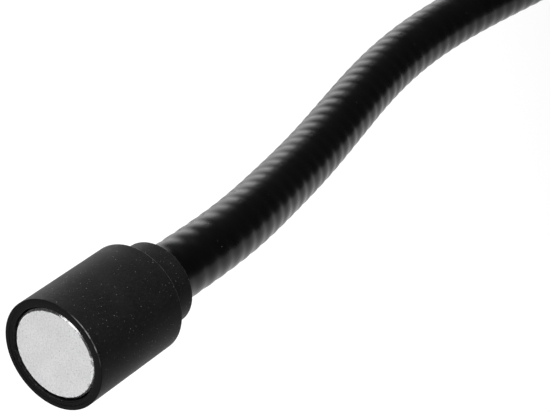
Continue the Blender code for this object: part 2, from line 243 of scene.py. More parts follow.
def in_short_steps(points, looped):
    """The same outline with its long stretches cut into short ones."""
    fine = []
    ends = points[1:] + points[:1] if looped else points[1:]
    for start, end in zip(points, ends):
        pieces = max(1, math.ceil((end - start).length / OUTLINE_STEP))
        fine += [start.lerp(end, k / pieces) for k in range(pieces)]
    return fine if looped else fine + [points[-1]]


def turned(corners, sides=TURNED_SIDES):
    """The outline through these corners turned about X. One that starts on the axis also ends there."""
    looped = corners[0][1] != 0.0
    outline = in_short_steps(rounded(corners), looped)
    bm = bmesh.new()
    verts = [bm.verts.new((x, 0.0, radius)) for x, radius in outline]
    ends = verts[1:] + verts[:1] if looped else verts[1:]
    edges = [bm.edges.new(pair) for pair in zip(verts, ends)]
    bmesh.ops.spin(
        bm,
        geom=verts + edges,
        axis=(1.0, 0.0, 0.0),
        angle=math.tau,
        steps=sides,
        use_merge=True,
    )
    bmesh.ops.remove_doubles(bm, verts=bm.verts, dist=0.0001)
    return bm


def lofted(rings, looped):
    """A closed skin through rings of points, joined back to the first ring or capped at both ends."""
    bm = bmesh.new()
    loops = [[bm.verts.new(point) for point in ring] for ring in rings]
    pairs = list(zip(loops, loops[1:]))
    if looped:
        pairs.append((loops[-1], loops[0]))
    else:
        bm.faces.new(loops[0])
        bm.faces.new(loops[-1])
    for near, far in pairs:
        for k in range(len(near)):
            bm.faces.new((near[k - 1], near[k], far[k], far[k - 1]))
    return bm


def finish_piece(obj, material, nodes):
    """Gives a piece its material and slot, and has it stand for nodes of the frame."""
    obj.data.materials.append(material)
    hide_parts(*nodes)


def mark_wear_and_highlight_edges(obj, edges):
    """Stores each point's distance from the nearest marked edge and how much that edge is rubbed bare
    there.

    An edge is (x, radius, strength, focus, spread): a circle, rubbed most at the focus angle, and less so
    with the distance from it, as the spread says. Both angles are in degrees. The rubbing is partly wear
    and partly painted highlight, where a bare line stands for light caught by the edge."""
    rest = places(obj.data) / MM
    radius = np.hypot(rest[:, 1], rest[:, 2])
    angle = np.arctan2(rest[:, 2], rest[:, 1])
    edge_x, edge_radius, strength, focus, spread = (column[:, None] for column in np.array(edges).T)
    gaps = np.hypot(rest[:, 0] - edge_x, radius - edge_radius)
    turns = (angle - np.radians(focus) + math.pi) % math.tau - math.pi
    worn_and_highlit = strength * np.exp(-((turns / np.radians(spread)) ** 2))
    nearest = np.argmin(gaps, axis=0)
    add_point_attribute(obj.data, "edge", "FLOAT", np.min(gaps, axis=0))
    add_point_attribute(obj.data, "worn_and_highlit", "FLOAT", worn_and_highlit[nearest, np.arange(len(rest))])


# Materials ----------------------------------------------------------------------------------


def add_node(tree, kind, inputs=None, **settings):
    """A shader node with its inputs set to values or joined to other nodes' outputs."""
    node = tree.nodes.new(f"ShaderNode{kind}")
    for name, value in settings.items():
        setattr(node, name, value)
    for name, value in (inputs or {}).items():
        if isinstance(value, bpy.types.NodeSocket):
            tree.links.new(value, node.inputs[name])
        else:
            node.inputs[name].default_value = value
    return node


def new_material(name):
    """A material, its node tree and its Principled shader."""
    material = bpy.data.materials.new(name)
    material.use_nodes = True
    tree = material.node_tree
    return material, tree, tree.nodes["Principled BSDF"]


def rest_place(tree):
    """The socket that gives a point's place in millimetres, for the pieces made here."""
    return add_node(tree, "Attribute", attribute_name="rest").outputs["Vector"]


def frame_place(tree):
    """The same for a node of the frame."""
    place = add_node(tree, "TexCoord").outputs["Object"]
    scaled = add_node(tree, "VectorMath", {0: place, "Scale": 1 / MM}, operation="SCALE")
    return scaled.outputs["Vector"]


def between(tree, value, low, high, result_low=0.0, result_high=1.0):
    """The value moved from one range to another, and kept inside it."""
    inputs = {
        "Value": value,
        "From Min": low,
        "From Max": high,
        "To Min": result_low,
        "To Max": result_high,
    }
    return add_node(tree, "MapRange", inputs).outputs["Result"]


def times(tree, a, b):
    """The product of two values."""
    return add_node(tree, "Math", {0: a, 1: b}, operation="MULTIPLY").outputs["Value"]


def mixed(tree, share, colour_a, colour_b):
    """One colour or colour socket laid over another by that share."""
    node = add_node(tree, "Mix", data_type="RGBA")
    for socket, value in ((node.inputs[0], share), (node.inputs[6], colour_a), (node.inputs[7], colour_b)):
        if isinstance(value, bpy.types.NodeSocket):
            tree.links.new(value, socket)
        else:
            socket.default_value = value
    return node.outputs[2]


def grey(value):
    """A grey with a trace of blue."""
    return (value, value, value * 1.01, 1.0)


def noise(tree, place, size, detail=3.0, roughness=0.5):
    """Noise from 0 to 1 with features of about that size in millimetres."""
    inputs = {"Vector": place, "Scale": 1 / size, "Detail": detail, "Roughness": roughness}
    return add_node(tree, "TexNoise", inputs).outputs["Fac"]


def specks(tree, place, spacing, radius):
    """1 on scattered dots of about that radius in millimetres, 0 elsewhere."""
    cells = add_node(tree, "TexVoronoi", {"Vector": place, "Scale": 1 / spacing})
    return between(tree, cells.outputs["Distance"], 1.3 * radius / spacing, 0.7 * radius / spacing)


def fine_dust(tree, place, spacing, radius):
    """Scattered dots like specks, each of its own strength, most of them faint."""
    cells = add_node(tree, "TexVoronoi", {"Vector": place, "Scale": 1 / spacing})
    chance = add_node(tree, "SeparateColor", {"Color": cells.outputs["Color"]}).outputs["Red"]
    dot = between(tree, cells.outputs["Distance"], 1.4 * radius / spacing, 0.6 * radius / spacing)
    return times(tree, dot, between(tree, chance, 0.45, 1.0))


def bumped(tree, height, depth, normal=None):
    """A normal for a surface raised by height times that depth in millimetres."""
    inputs = {"Height": height, "Strength": 1.0, "Distance": depth * MM}
    if normal is not None:
        inputs["Normal"] = normal
    return add_node(tree, "Bump", inputs).outputs["Normal"]


def coated_metal(name, pale_front):
    """A matte black coating with a fine grain and dust, rubbed bare in places along its edges, where the
    bare lines are partly wear and partly painted highlight.

    A pale front has a paler film in patches that thins out towards the rear and to one side, and a darker
    rim."""
    material, tree, shader = new_material(name)
    place = rest_place(tree)
    cloud = noise(tree, place, size=5.0)
    grain = noise(tree, place, size=0.22, detail=4.0)
    edge = add_node(tree, "Attribute", attribute_name="edge").outputs["Fac"]
    worn_and_highlit = add_node(tree, "Attribute", attribute_name="worn_and_highlit").outputs["Fac"]
    chips = between(tree, noise(tree, place, size=0.8), 0.4, 0.52, 0.15, 1.0)
    # Bare metal along the marked edges: partly wear, partly a painted highlight line where an edge catches
    # the light
    rub_and_highlight = times(tree, between(tree, edge, 0.11, 0.06), times(tree, worn_and_highlit, chips))
    coat = mixed(tree, between(tree, cloud, 0.35, 0.7), grey(0.008), grey(0.012))
    coat = mixed(tree, between(tree, grain, 0.45, 0.75, 0.0, 0.6), coat, grey(0.026))
    if pale_front:
        axes = add_node(tree, "SeparateXYZ", {"Vector": place}).outputs
        patches = between(tree, noise(tree, place, size=0.6, detail=5.0), 0.35, 0.65)
        # A paler film in patches, strongest at the front and towards +Y
        pale_film = times(tree, between(tree, axes["X"], 6.0, -0.2), between(tree, axes["Y"], -3.0, 7.0))
        pale_film = times(tree, pale_film, patches)
        coat = mixed(tree, times(tree, pale_film, 0.6), coat, grey(0.07))
        coat = mixed(tree, between(tree, axes["X"], -0.08, -0.2), coat, grey(0.003))
    coat = mixed(tree, fine_dust(tree, place, spacing=0.42, radius=0.038), coat, grey(0.45))
    tree.links.new(mixed(tree, rub_and_highlight, coat, grey(0.55)), shader.inputs["Base Color"])
    tree.links.new(between(tree, cloud, 0.2, 0.8, 0.5, 0.42), shader.inputs["Roughness"])
    tree.links.new(times(tree, rub_and_highlight, 0.9), shader.inputs["Metallic"])
    tree.links.new(bumped(tree, grain, 0.012), shader.inputs["Normal"])
    shader.inputs["Specular IOR Level"].default_value = 0.06
    return material


def vinyl(name):
    """The glossy black sleeve, with a faint unevenness and a little dust."""
    material, tree, shader = new_material(name)
    place = rest_place(tree)
    waves = noise(tree, place, size=1.6, detail=2.0)
    grain = noise(tree, place, size=0.2)
    dust = fine_dust(tree, place, spacing=1.4, radius=0.08)
    tree.links.new(mixed(tree, dust, grey(0.0018), grey(0.1)), shader.inputs["Base Color"])
    smear = between(tree, noise(tree, place, size=5.0), 0.3, 0.7, 0.26, 0.33)
    tree.links.new(smear, shader.inputs["Roughness"])
    normal = bumped(tree, waves, 0.006)
    tree.links.new(bumped(tree, grain, 0.0015, normal), shader.inputs["Normal"])
    shader.inputs["Specular IOR Level"].default_value = 0.4
    return material


def plating(name):
    """The magnet's dull silver plating, with a grain, dark pinpricks and a polished, chipped edge."""
    material, tree, shader = new_material(name)
    place = rest_place(tree)
    edge = add_node(tree, "Attribute", attribute_name="edge").outputs["Fac"]
    grain = noise(tree, place, size=0.3, roughness=0.75)
    cloud = noise(tree, place, size=3.0)
    face = mixed(tree, between(tree, cloud, 0.3, 0.7), grey(0.76), grey(0.83))
    face = mixed(tree, between(tree, grain, 0.4, 0.7, 0.0, 0.6), face, grey(0.5))
    face = mixed(tree, fine_dust(tree, place, spacing=0.42, radius=0.06), face, grey(0.25))
    chips = between(tree, noise(tree, place, size=0.6, detail=4.0), 0.52, 0.6)
    chips = times(tree, chips, between(tree, edge, 0.55, 0.35, 0.0, 0.7))
    face = mixed(tree, chips, face, grey(0.22))
    tree.links.new(face, shader.inputs["Base Color"])
    tree.links.new(between(tree, edge, 0.3, 0.45, 0.16, 0.52), shader.inputs["Roughness"])
    tree.links.new(bumped(tree, grain, 0.02), shader.inputs["Normal"])
    shader.inputs["Metallic"].default_value = 0.85
    return material


def steel(name, place_of, tone, roughness):
    """Plain machined or drawn steel with fine scratches."""
    material, tree, shader = new_material(name)
    place = place_of(tree)
    scratches = noise(tree, place, size=0.3, detail=5.0)
    cloud = noise(tree, place, size=2.5)
    colour = mixed(tree, between(tree, cloud, 0.3, 0.7), grey(0.85 * tone), grey(tone))
    tree.links.new(colour, shader.inputs["Base Color"])
    rough = between(tree, scratches, 0.3, 0.7, roughness, roughness + 0.15)
    tree.links.new(rough, shader.inputs["Roughness"])
    tree.links.new(bumped(tree, scratches, 0.01), shader.inputs["Normal"])
    shader.inputs["Metallic"].default_value = 1.0
    return material


def adhesive(name):
    """Set adhesive, uneven and slightly yellow."""
    material, tree, shader = new_material(name)
    place = frame_place(tree)
    lumps = noise(tree, place, size=1.2)
    colour = mixed(tree, between(tree, lumps, 0.3, 0.7), (0.32, 0.29, 0.22, 1.0), (0.45, 0.42, 0.34, 1.0))
    tree.links.new(colour, shader.inputs["Base Color"])
    tree.links.new(between(tree, lumps, 0.3, 0.7, 0.4, 0.7), shader.inputs["Roughness"])
    tree.links.new(bumped(tree, lumps, 0.08), shader.inputs["Normal"])
    return material


def soft_grip(name):
    """Soft black rubber with a stipple, a little paler where hands rub it."""
    material, tree, shader = new_material(name)
    place = rest_place(tree)
    cloud = noise(tree, place, size=9.0)
    stipple_spacing = 0.45
    stipple = add_node(tree, "TexVoronoi", {"Vector": place, "Scale": 1 / stipple_spacing})
    edge = add_node(tree, "Attribute", attribute_name="edge").outputs["Fac"]
    rubbed = times(tree, between(tree, edge, 0.9, 0.2), between(tree, cloud, 0.35, 0.65))
    base = mixed(tree, between(tree, cloud, 0.3, 0.7), grey(0.012), grey(0.018))
    base = mixed(tree, times(tree, rubbed, 0.5), base, grey(0.04))
    dust = specks(tree, place, spacing=1.3, radius=0.08)
    base = mixed(tree, times(tree, dust, 0.4), base, grey(0.25))
    tree.links.new(base, shader.inputs["Base Color"])
    tree.links.new(between(tree, rubbed, 0.0, 1.0, 0.68, 0.5), shader.inputs["Roughness"])
    tree.links.new(bumped(tree, stipple.outputs["Distance"], 0.05), shader.inputs["Normal"])
    shader.inputs["Specular IOR Level"].default_value = 0.4
    return material


def moulded_plastic(name):
    """Black moulded plastic with a spark-eroded texture."""
    material, tree, shader = new_material(name)
    place = rest_place(tree)
    texture = noise(tree, place, size=0.35, detail=2.0)
    cloud = noise(tree, place, size=7.0)
    dust = specks(tree, place, spacing=1.4, radius=0.08)
    base = mixed(tree, between(tree, cloud, 0.3, 0.7), grey(0.013), grey(0.018))
    tree.links.new(mixed(tree, times(tree, dust, 0.4), base, grey(0.3)), shader.inputs["Base Color"])
    tree.links.new(between(tree, cloud, 0.3, 0.7, 0.42, 0.5), shader.inputs["Roughness"])
    tree.links.new(bumped(tree, texture, 0.03), shader.inputs["Normal"])
    return material


# Head ---------------------------------------------------------------------------------------


def head_shell():
    """The shell, with the magnet's pocket in front, the collar's socket behind and a screw hole between."""
    rim = -MAGNET_RECESS
    socket_front = POCKET_FLOOR + WEB_THICKNESS
    screw_seat = POCKET_FLOOR + SCREW_HEAD_LENGTH
    return turned(
        [
            (rim, RIM_STEP_RADIUS, 0.05),
            (rim, HEAD_RADIUS, 0.07),
            (HEAD_REAR, HEAD_RADIUS, 0.1),
            (HEAD_REAR, SPIGOT_RADIUS + GAP, 0.1),
            (socket_front, SPIGOT_RADIUS + GAP, 0.0),
            (socket_front, SCREW_RADIUS + GAP, 0.0),
            (screw_seat, SCREW_RADIUS + GAP, 0.0),
            (screw_seat, SCREW_HEAD_RADIUS + GAP, 0.0),
            (POCKET_FLOOR, SCREW_HEAD_RADIUS + GAP, 0.0),
            (POCKET_FLOOR, POCKET_RADIUS, 0.0),
            (rim + RIM_STEP_DEPTH, POCKET_RADIUS, 0.12),
            (rim + RIM_STEP_DEPTH, RIM_STEP_RADIUS, 0.05),
        ]
    )


def neck_collar():
    """The collar, with a spigot in the shell and a stepped socket for the sleeve and the wires."""
    spigot = POCKET_FLOOR + WEB_THICKNESS + GAP
    sleeve_stop = COLLAR_REAR - SLEEVE_SOCKET - GAP
    wire_stop = COLLAR_REAR - WIRE_SOCKET - GAP
    return turned(
        [
            (spigot, SCREW_RADIUS + GAP, 0.0),
            (spigot, SPIGOT_RADIUS, 0.2),
            (HEAD_REAR + GAP / 2, SPIGOT_RADIUS, 0.0),
            (HEAD_REAR + GAP / 2, COLLAR_RADIUS, 0.05),
            (COLLAR_REAR, COLLAR_RADIUS, 0.1),
            (COLLAR_REAR, SLEEVE_RADIUS + GAP, 0.1),
            (sleeve_stop, SLEEVE_RADIUS + GAP, 0.0),
            (sleeve_stop, SLEEVE_BORE_RADIUS, 0.0),
            (wire_stop, SLEEVE_BORE_RADIUS, 0.0),
            (wire_stop, SCREW_RADIUS + GAP, 0.0),
        ]
    )


def magnet_disc():
    """The magnet, with a chamfer round its face that is slightly uneven."""
    chamfer = 0.3
    uneven_reach = 0.8
    uneven_share = 0.004
    bm = turned(
        [
            (0.0, 0.0, 0.0),
            (0.0, MAGNET_RADIUS - chamfer, 0.06),
            (chamfer, MAGNET_RADIUS, 0.06),
            (MAGNET_LENGTH, MAGNET_RADIUS, 0.2),
            (MAGNET_LENGTH, 0.0, 0.0),
        ]
    )
    for vert in bm.verts:
        radius = math.hypot(vert.co.y, vert.co.z)
        closeness = ease(1 - (MAGNET_RADIUS - radius) / uneven_reach) * ease(1 - vert.co.x / uneven_reach)
        angle = math.atan2(vert.co.z, vert.co.y)
        unevenness = math.sin(17 * angle) * math.sin(11 * angle + 1.0) + 0.4 * math.sin(31 * angle + 2.0)
        shrink = 1 - uneven_share * float(closeness) * (1 + unevenness)
        vert.co.y *= shrink
        vert.co.z *= shrink
    return bm


def add_head():
    """The shell, the collar and the magnet."""
    coat = coated_metal("head_coating", pale_front=True)
    shell = new_object("head_shell_finished", head_shell())
    # The bare lines at the upper right of the front edge and along the rear edge are painted highlight as
    # well as wear
    mark_wear_and_highlight_edges(
        shell,
        [
            (-MAGNET_RECESS, HEAD_RADIUS, 1.0, 142, 17),
            (-MAGNET_RECESS + 0.3, HEAD_RADIUS, 0.7, 112, 9),
            (HEAD_REAR, HEAD_RADIUS, 0.35, 100, 70),
        ],
    )
    collar = new_object("neck_collar_finished", neck_collar())
    # The collar's bare rear edge is likewise partly a painted highlight
    mark_wear_and_highlight_edges(collar, [(COLLAR_REAR, COLLAR_RADIUS, 0.2, 110, 60)])
    magnet = new_object("magnet_disc_finished", magnet_disc())
    mark_wear_and_highlight_edges(magnet, [(0.0, MAGNET_RADIUS, 1.0, 0, EVEN_SPREAD)])
    finish_piece(shell, coat, ["head_shell"])
    finish_piece(collar, coat, ["neck_collar"])
    finish_piece(magnet, plating("magnet_plating"), ["magnet_disc"])
    for piece in (shell, collar, magnet):
        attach(piece, "head")


# Gooseneck ----------------------------------------------------------------------------------


def neck_route():
    """The gooseneck's centreline: distances from the collar's rear, and the place and heading at each."""
    along = np.arange(-ROUTE_LEAD, NECK_LENGTH + ROUTE_LEAD, ROUTE_STEP)
    heading = np.zeros(len(along))
    for start, length, turn in BENDS:
        heading += math.radians(turn) * ease((along - start) / length)
    middle = (heading[1:] + heading[:-1]) / 2
    x = np.concatenate(([0.0], np.cumsum(np.cos(middle) * ROUTE_STEP)))
    y = np.concatenate(([0.0], np.cumsum(np.sin(middle) * ROUTE_STEP)))
    drop = NECK_HEIGHT * ease(along / DROP_LENGTH)
    rise = (HANDLE_HEIGHT - NECK_HEIGHT) * ease((along - NECK_LENGTH) / RISE_LENGTH + 1)
    return {
        "along": along,
        "x": x - np.interp(0.0, along, x) + COLLAR_REAR,
        "y": y - np.interp(0.0, along, y),
        "z": drop + rise,
        "heading": heading,
    }


ROUTE = neck_route()


def centre(distance):
    """The points of the centreline at distances from the collar's rear face, one row each."""
    return np.stack([np.interp(distance, ROUTE["along"], ROUTE[axis]) for axis in "xyz"], axis=-1)


def directions(distance):
    """The centreline's tangents, the level directions across it, and those square to both."""
    tangent = centre(distance + TANGENT_REACH) - centre(distance - TANGENT_REACH)
    tangent /= np.linalg.norm(tangent, axis=-1, keepdims=True)
    heading = np.interp(distance, ROUTE["along"], ROUTE["heading"])
    side = np.stack([-np.sin(heading), np.cos(heading), np.zeros_like(heading)], axis=-1)
    return tangent, side, np.cross(tangent, side)


def rib_radius(distance, angle):
    """The sleeve's outer radius, which follows the wire's turns under it."""
    phase = math.tau * distance / WIRE_PITCH - angle
    unevenness = np.sin(distance * RIB_WAVES[0] + angle) * np.sin(distance * RIB_WAVES[1] + 2.0)
    depth = RIB_DEPTH * (1 + RIB_UNEVENNESS * unevenness)
    return SLEEVE_RADIUS - depth * ((1 - np.cos(phase)) / 2) ** RIB_SHARPNESS


def tube_rings(stops, radius_of):
    """Rings of points round the centreline, with a radius for each distance and angle."""
    _, side, up = directions(stops)
    angle = np.linspace(0.0, math.tau, SLEEVE_SIDES, endpoint=False)
    outward = side[:, None] * np.cos(angle)[:, None] + up[:, None] * np.sin(angle)[:, None]
    radius = radius_of(stops[:, None], angle[None, :])
    return centre(stops)[:, None] + outward * radius[..., None]


def stops_between(start, end, step):
    """Evenly spaced distances from start to end, no further apart than step."""
    return np.linspace(start, end, math.ceil((end - start) / step) + 1)


def sleeve_length(start, end):
    """A length of the sleeve: a ribbed outside and a plain bore."""
    outside = stops_between(start, end, SLEEVE_STEP)
    inside = stops_between(start, end, SLEEVE_INNER_STEP)[::-1]
    bore = tube_rings(inside, lambda distance, angle: SLEEVE_BORE_RADIUS + 0 * distance * angle)
    return lofted([*tube_rings(outside, rib_radius), *bore], looped=True)


def smooth_sleeve_ends(obj, start, end):
    """Gives the outer skin the normals that it has where it goes on in the next length."""
    reach = 0.02
    mesh = obj.data
    stops = stops_between(start, end, SLEEVE_STEP)
    ahead = tube_rings(stops + reach, rib_radius)
    behind = tube_rings(stops - reach, rib_radius)
    here = tube_rings(stops, rib_radius)
    around = np.roll(here, -1, axis=1) - np.roll(here, 1, axis=1)
    normal = np.cross(ahead - behind, around)
    normal /= np.linalg.norm(normal, axis=-1, keepdims=True)
    outward = here - centre(stops)[:, None]
    normal *= np.sign(np.sum(normal * outward, axis=-1, keepdims=True))
    normal = normal.reshape(-1, 3)
    custom = np.zeros((len(mesh.loops), 3))  # a zero leaves a normal as it is
    outer_count = len(normal)
    for face in mesh.polygons:
        if max(face.vertices) < outer_count:
            for loop in face.loop_indices:
                custom[loop] = normal[mesh.loops[loop].vertex_index]
    mesh.normals_split_custom_set(custom.tolist())


def wire_length(start, end, section, phase):
    """A wire wound round the centreline. The section's points are (radius, offset along the neck)."""
    stops = np.linspace(start, end, math.ceil((end - start) / WIRE_PITCH * WIRE_STEPS_PER_TURN) + 1)
    tangent, side, up = directions(stops)
    angle = (math.tau * stops / WIRE_PITCH + phase)[:, None]
    outward = side * np.cos(angle) + up * np.sin(angle)
    radius, offset = np.array(section).T
    rings = centre(stops)[:, None] + outward[:, None] * radius[:, None] + tangent[:, None] * offset[:, None]
    return lofted(rings, looped=False)


def add_gooseneck():
    """The sleeve and its two wires, each cut half-way between the hinges and curving across one hinge."""
    bends = np.linspace(END_BEND_DISTANCE, NECK_LENGTH - END_BEND_DISTANCE, BEND_COUNT)
    cuts = list((bends[1:] + bends[:-1]) / 2)
    wire_reach = WIRE_SOCKET - WIRE_END_ROOM
    sleeve_cuts = [-SLEEVE_SOCKET, *cuts, NECK_LENGTH + SLEEVE_SOCKET]
    wire_cuts = [-wire_reach, *cuts, NECK_LENGTH + wire_reach]
    black = vinyl("sleeve_vinyl")
    drawn = steel("drawn_wire", rest_place, tone=0.5, roughness=0.3)
    round_section = [
        (ROUND_WIRE_COIL_RADIUS + ROUND_WIRE_RADIUS * math.cos(a), ROUND_WIRE_RADIUS * math.sin(a))
        for a in np.linspace(0.0, math.tau, ROUND_WIRE_SIDES, endpoint=False)
    ]
    wedge_section = [
        (WEDGE_WIRE_OUTER_RADIUS, -WEDGE_WIRE_HALF_WIDTH),
        (WEDGE_WIRE_OUTER_RADIUS, WEDGE_WIRE_HALF_WIDTH),
        (WEDGE_WIRE_INNER_RADIUS, 0.0),
    ]
    for number, joint in enumerate(frame["joints"], start=1):
        span = sleeve_cuts[number - 1], sleeve_cuts[number]
        wire_span = wire_cuts[number - 1], wire_cuts[number]
        sleeve = new_object(f"sleeve_{number}", sleeve_length(*span))
        smooth_sleeve_ends(sleeve, *span)
        coil = new_object(f"round_wire_{number}", wire_length(*wire_span, round_section, 0.0))
        wedge = new_object(f"wedge_wire_{number}", wire_length(*wire_span, wedge_section, math.pi))
        near, far = f"neck_{number}", f"neck_{number + 1}"
        finish_piece(sleeve, black, [f"{near}_sleeve", f"{far}_sleeve"])
        finish_piece(coil, drawn, [f"{near}_round_wire", f"{far}_round_wire"])
        finish_piece(wedge, drawn, [f"{near}_wedge_wire", f"{far}_wedge_wire"])
        for piece in (sleeve, coil, wedge):
            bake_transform(piece)


# Handle, shaped along +X from the ferrule's mouth --------------------------------------------


def place_on_handle(obj):
    """Sets a piece shaped along +X from the ferrule's mouth on the neck's end."""
    mouth = Vector(centre(np.array(NECK_LENGTH))) * MM
    turn = Matrix.Rotation(ROUTE["heading"][-1], 4, "Z")
    obj.data.transform(Matrix.Translation(mouth) @ turn)
    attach(obj, "handle")


def cut(obj, cutter):
    """Cuts one object's shape out of another's mesh and removes that cutter."""
    modifier = obj.modifiers.new("cut", "BOOLEAN")
    modifier.operation = "DIFFERENCE"
    modifier.solver = "EXACT"
    modifier.object = cutter
    evaluated = obj.evaluated_get(bpy.context.evaluated_depsgraph_get())
    mesh = bpy.data.meshes.new_from_object(evaluated)
    obj.modifiers.clear()
    obj.data = mesh
    bpy.data.objects.remove(cutter)


def upright(bm, x):
    """The same shape stood on end at a distance along X."""
    stand = Matrix.Translation((x, 0.0, 0.0)) @ Matrix.Rotation(-math.pi / 2, 4, "Y")
    bmesh.ops.transform(bm, matrix=stand, verts=bm.verts)
    return bm


def handle_ferrule():
    """The ferrule, with a socket for the neck in front and a spigot in the grip's core tube behind."""
    sleeve_stop = SLEEVE_SOCKET + GAP
    wire_stop = GRUB_DISTANCE + GRUB_RADIUS + 2 * GAP
    spigot_end = FERRULE_LENGTH + SPIGOT_LENGTH
    step = FERRULE_RADIUS - COLLAR_RADIUS
    return turned(
        [
            (wire_stop, 0.0, 0.0),
            (wire_stop, SLEEVE_BORE_RADIUS, 0.0),
            (sleeve_stop, SLEEVE_BORE_RADIUS, 0.0),
            (sleeve_stop, SLEEVE_RADIUS + GAP, 0.0),
            (0.0, SLEEVE_RADIUS + GAP, 0.15),
            (0.0, COLLAR_RADIUS, 0.3),
            (COLLAR_LENGTH, COLLAR_RADIUS, 0.4),
            (COLLAR_LENGTH + step / 2, FERRULE_RADIUS, 0.4),
            (FERRULE_LENGTH, FERRULE_RADIUS, 0.15),
            (FERRULE_LENGTH, TUBE_BORE_RADIUS - GAP, 0.0),
            (spigot_end, TUBE_BORE_RADIUS - GAP, 0.3),
            (spigot_end, 0.0, 0.0),
        ]
    )


def grub_screw():
    """The set screw, with a hexagonal socket in its top."""
    bottom = WEDGE_WIRE_OUTER_RADIUS + GAP
    top = FERRULE_RADIUS - GAP
    tip_chamfer = 0.3
    top_chamfer = 0.12
    angles = np.linspace(0.0, math.tau, GRUB_SIDES, endpoint=False)
    hexagon = GRUB_SOCKET_RADIUS / np.cos((angles % (math.pi / 3)) - math.pi / 6)
    rounds = [
        (bottom, CENTRE_RADIUS),
        (bottom, GRUB_RADIUS - tip_chamfer),
        (bottom + tip_chamfer, GRUB_RADIUS),
        (top - top_chamfer, GRUB_RADIUS),
        (top, GRUB_RADIUS - top_chamfer),
    ]
    rings = [(height, np.full(GRUB_SIDES, radius)) for height, radius in rounds]
    rings += [(top, hexagon), (top - GRUB_SOCKET_DEPTH, hexagon)]
    return lofted(
        [
            [(GRUB_DISTANCE + r * math.cos(a), r * math.sin(a), height) for a, r in zip(angles, radii)]
            for height, radii in rings
        ],
        looped=False,
    )


def grip_sleeve():
    """The soft grip, with a row of rounded grooves, and the groove edges' places for its wear."""
    front = FERRULE_LENGTH + GAP
    grooved = GRIP_GROOVES * GROOVE_PITCH
    first = (front + GRIP_END - grooved + GROOVE_PITCH - GROOVE_WIDTH) / 2
    slope = GROOVE_WIDTH / 4
    corners = [(front, FERRULE_RADIUS, 0.3), (front + GRIP_RADIUS - FERRULE_RADIUS, GRIP_RADIUS, 1.0)]
    edges = []
    for k in range(GRIP_GROOVES):
        start = first + k * GROOVE_PITCH
        corners += [
            (start, GRIP_RADIUS, 0.5),
            (start + slope, GRIP_RADIUS - GROOVE_DEPTH, 0.5),
            (start + GROOVE_WIDTH - slope, GRIP_RADIUS - GROOVE_DEPTH, 0.5),
            (start + GROOVE_WIDTH, GRIP_RADIUS, 0.5),
        ]
        edges += [(x, GRIP_RADIUS, 1.0, 90, EVEN_SPREAD) for x in (start, start + GROOVE_WIDTH)]
    corners += [
        (GRIP_END, GRIP_RADIUS, 0.4),
        (GRIP_END, GRIP_BORE_RADIUS, 0.0),
        (front, GRIP_BORE_RADIUS, 0.0),
    ]
    return turned(corners), edges


def end_cap():
    """The cap's body, lofted from its spigot through a round shoulder to a flat tab with a rounded end."""
    front = GRIP_END + GAP
    rear = front + CAP_LENGTH - CAP_INSET
    broad = GRIP_RADIUS - CAP_INSET
    spigot = TUBE_BORE_RADIUS - GAP
    inner_end = front - SPIGOT_LENGTH
    half = CAP_TAB_THICKNESS / 2
    free_height = GRIP_RADIUS * 4  # a limit so high that it leaves the round shoulder round
    flat_start = front + CAP_SHOULDER - 0.6
    flat_length = 1.8
    flat_suddenness = 0.25
    squareness = 12
    outline = in_short_steps(
        rounded(
            [
                (inner_end, CENTRE_RADIUS, 0.0),
                (inner_end, spigot, 0.4),
                (front, spigot, 0.0),
                (front, broad, 0.4),
                (rear - CAP_DOME_LENGTH, broad, 0.0),
            ]
        ),
        looped=False,
    )
    for a in np.linspace(0.0, math.pi / 2, CAP_DOME_STEPS)[1:]:
        drop = CAP_DOME_DROP * (1 - math.cos(a))
        outline.append(Vector((rear - CAP_DOME_LENGTH * (1 - math.sin(a)), broad - drop)))
    outline += [Vector((rear, radius)) for radius in (4.0, 3.0, 2.0, 1.0, CENTRE_RADIUS)]
    angles = np.linspace(0.0, math.tau, TURNED_SIDES, endpoint=False)
    rings = []
    for x, radius in outline:
        flat = float(ease((x - flat_start) / flat_length))
        limit = free_height + (half - free_height) * flat**flat_suddenness
        height = radius * np.abs(np.sin(angles))
        norm = (height**squareness + limit**squareness) ** (1 / squareness)
        pressed = height * limit / norm * np.sign(np.sin(angles))
        rings.append(np.stack([np.full_like(angles, x), radius * np.cos(angles), pressed], axis=1))
    return lofted(rings, looped=False)


def hang_hole_cutter():
    """A round hole with rounded mouths on both faces of the tab."""
    half = CAP_TAB_THICKNESS / 2
    outside = half + 1.0
    mouth = 0.8
    flare = 0.3
    shape = turned(
        [
            (-outside, 0.0, 0.0),
            (-outside, HANG_HOLE_RADIUS + mouth + flare, 0.0),
            (-half, HANG_HOLE_RADIUS + mouth, 0.0),
            (-half + mouth, HANG_HOLE_RADIUS, 0.6),
            (half - mouth, HANG_HOLE_RADIUS, 0.6),
            (half, HANG_HOLE_RADIUS + mouth, 0.0),
            (outside, HANG_HOLE_RADIUS + mouth + flare, 0.0),
            (outside, 0.0, 0.0),
        ],
        HOLE_SIDES,
    )
    return upright(shape, HANG_HOLE_DISTANCE)


def grub_hole_cutter():
    """The grub screw's hole, from inside the ferrule's bore to outside its top."""
    bottom = 3.5
    top = FERRULE_RADIUS + 1.0
    radius = GRUB_RADIUS + GAP
    shape = turned(
        [(bottom, 0.0, 0.0), (bottom, radius, 0.0), (top, radius, 0.0), (top, 0.0, 0.0)],
        SMALL_HOLE_SIDES,
    )
    return upright(shape, GRUB_DISTANCE)


